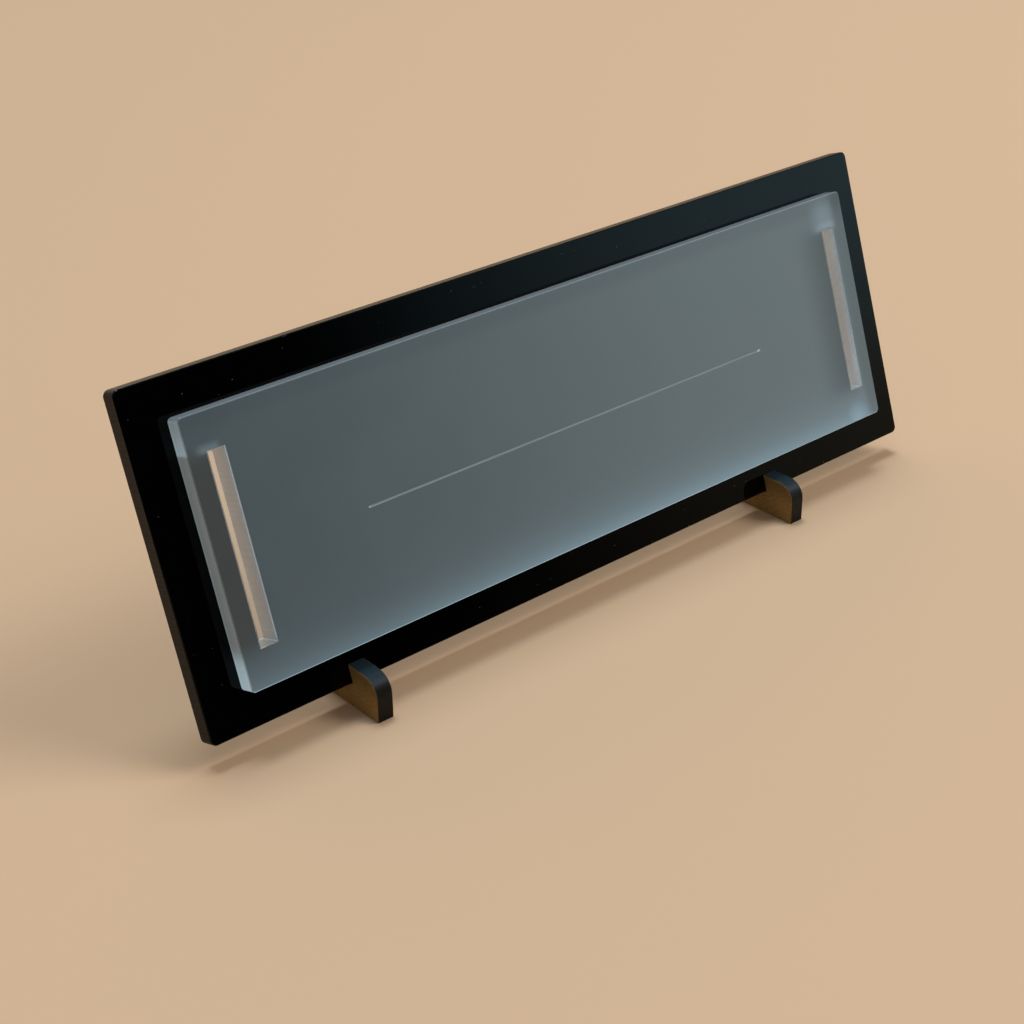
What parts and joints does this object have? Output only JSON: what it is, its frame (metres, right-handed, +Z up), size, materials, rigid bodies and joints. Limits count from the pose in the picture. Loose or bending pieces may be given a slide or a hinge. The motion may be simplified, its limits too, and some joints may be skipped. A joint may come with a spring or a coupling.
{
  "type": "desk name plate",
  "caption": "Desk name plate: a frosted front plate keyed by clear bars to a glossy black back plate, which leans back in slotted feet that slide along its lower edge.",
  "frame": {"origin": "on the table, under the middle of the sign's length and midway between the front and back ends of the feet", "axes": "+Z up, +X along the sign to the right of someone who reads it, -Y the way that the sign faces"},
  "size_m": [0.15, 0.03, 0.0536],
  "materials": {
    "black_acrylic": "polished black sheet with satin laser-cut edges",
    "frosted_acrylic": "frosted blue-grey sheet with pale glowing edges",
    "clear_acrylic": "clear sheet seen on edge",
    "foot_sheet": "matte brown faces with black laser-cut edges"
  },
  "bodies": {
    "sign": {"back_plate": "black_acrylic", "front_plate": "frosted_acrylic", "left_key_bar": "clear_acrylic", "right_key_bar": "clear_acrylic"},
    "left_foot": {"left_foot": "foot_sheet"},
    "right_foot": {"right_foot": "foot_sheet"}
  },
  "joints": [
    {"name": "left_foot_slide", "type": "slide", "parent": "sign", "child": "left_foot", "axis": [1, 0, 0], "range_m": [-0.0245, 0.0465]},
    {"name": "right_foot_slide", "type": "slide", "parent": "sign", "child": "right_foot", "axis": [1, 0, 0], "range_m": [-0.0385, 0.0325]}
  ]
}
